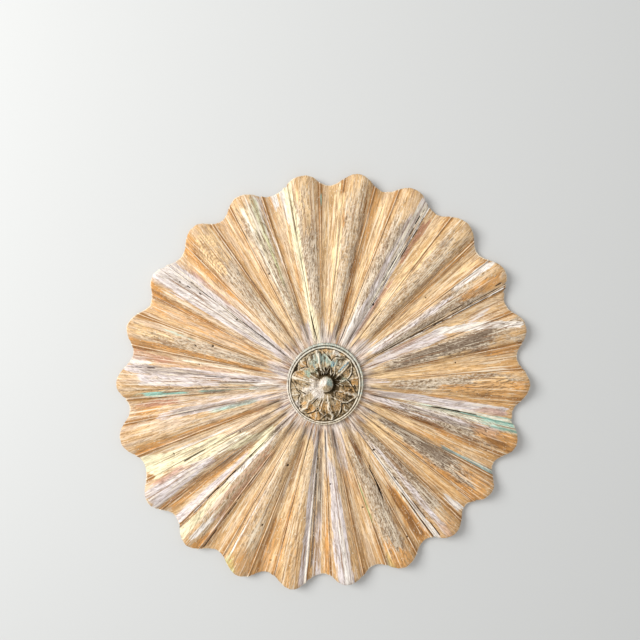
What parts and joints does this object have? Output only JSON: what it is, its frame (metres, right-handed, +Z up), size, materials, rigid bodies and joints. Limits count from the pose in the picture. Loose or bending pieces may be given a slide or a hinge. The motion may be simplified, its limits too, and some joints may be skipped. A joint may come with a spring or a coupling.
{
  "type": "sunburst wall medallion",
  "caption": "Round fluted wooden wall medallion with a scalloped rim and a carved flower rosette at its middle, hung flat against a wall as ornament",
  "frame": {"origin": "hanging point on the flat back of the top stave, on the vertical centre line, 150 mm above the middle of the disc", "axes": "+Z up as hung, +Y out of the flat back towards the wall, carved face towards -Y, +X to the right seen from the front"},
  "size_m": [0.597, 0.0435, 0.5968],
  "materials": {
    "painted_old_wood": "old hardwood with worn lime wash, grey weathering, ochre stain and remnants of pale paint along the joints",
    "rosette_wood": "carved hardwood with ochre leaves, dark recesses, blue-green wash and pale worn ridges"
  },
  "bodies": {
    "root": {"stave_1": "painted_old_wood", "stave_2": "painted_old_wood", "stave_3": "painted_old_wood", "stave_4": "painted_old_wood", "stave_5": "painted_old_wood", "stave_6": "painted_old_wood", "stave_7": "painted_old_wood", "stave_8": "painted_old_wood", "stave_9": "painted_old_wood", "rosette": "rosette_wood"}
  },
  "joints": []
}
